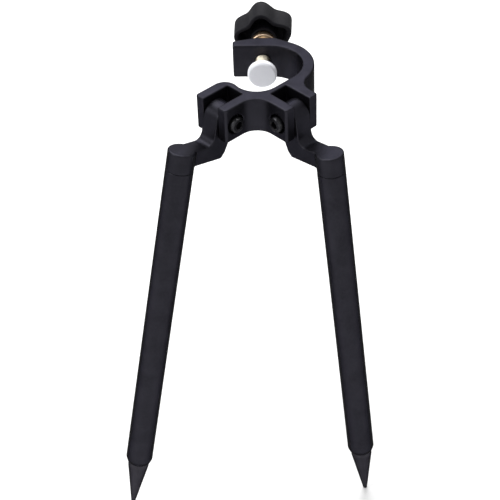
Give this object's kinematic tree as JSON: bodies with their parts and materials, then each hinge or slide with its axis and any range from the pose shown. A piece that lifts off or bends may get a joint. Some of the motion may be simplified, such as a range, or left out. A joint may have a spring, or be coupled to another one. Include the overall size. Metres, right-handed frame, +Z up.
{
  "type": "survey pole bipod",
  "caption": "Small bipod for a survey pole: a C-shaped screw clamp grips the pole and two cranked tube legs with points swing out from forked channels.",
  "frame": {"origin": "on the axis of the pole that the clamp grips, at mid-height of the clamp body", "axes": "+Z up along the gripped pole; the two legs leave towards -Y, 45 degrees to each side; the clamp screw's knob is on the +Y side"},
  "size_m": [0.1417, 0.1447, 0.2572],
  "materials": {
    "black_anodised": "satin black anodised",
    "black_steel": "satin black",
    "black_screw": "black oxide",
    "black_plastic": "fine textured",
    "brass": "turned",
    "steel": "zinc plated",
    "bare_aluminium": "turned",
    "grey_nylon": "filled nylon",
    "nylon": "turned natural nylon"
  },
  "bodies": {
    "clamp": {"clamp_body": "black_anodised", "left_pivot_screw": "black_screw", "left_spring_washer": "black_screw", "left_friction_washers": "grey_nylon", "right_pivot_screw": "black_screw", "right_spring_washer": "black_screw", "right_friction_washers": "grey_nylon"},
    "left_leg": {"left_crank": "black_anodised", "left_pivot_bush": "brass", "left_leg_stud": "steel", "left_top_plug": "bare_aluminium", "left_tube": "black_anodised", "left_point": "black_steel"},
    "right_leg": {"right_crank": "black_anodised", "right_pivot_bush": "brass", "right_leg_stud": "steel", "right_top_plug": "bare_aluminium", "right_tube": "black_anodised", "right_point": "black_steel"},
    "pad_carriage": {"clamp_pad": "nylon"},
    "clamp_screw": {"clamp_stud": "brass", "stud_collar": "brass", "star_knob": "black_plastic"}
  },
  "joints": [
    {"name": "left_leg_swing", "type": "hinge", "parent": "clamp", "child": "left_leg", "pos_m": [-0.01853, -0.01853, -0.001], "axis": [-0.7071, 0.7071, 0], "range_deg": [-13.7, 76.3]},
    {"name": "right_leg_swing", "type": "hinge", "parent": "clamp", "child": "right_leg", "pos_m": [0.01853, -0.01853, -0.001], "axis": [-0.7071, -0.7071, 0], "range_deg": [-7.6, 82.4]},
    {"name": "pad_travel", "type": "slide", "parent": "clamp", "child": "pad_carriage", "axis": [0, -1, 0], "range_m": [-0.0092, 0.0058]},
    {"name": "knob_turn", "type": "hinge", "parent": "pad_carriage", "child": "clamp_screw", "pos_m": [0.002, 0.05, 0], "axis": [0, -1, 0], "range_deg": [-2652, 1673]}
  ],
  "couplings": [
    {"joint": "knob_turn", "follows": "pad_travel", "rad_per_m": 5026.5}
  ]
}
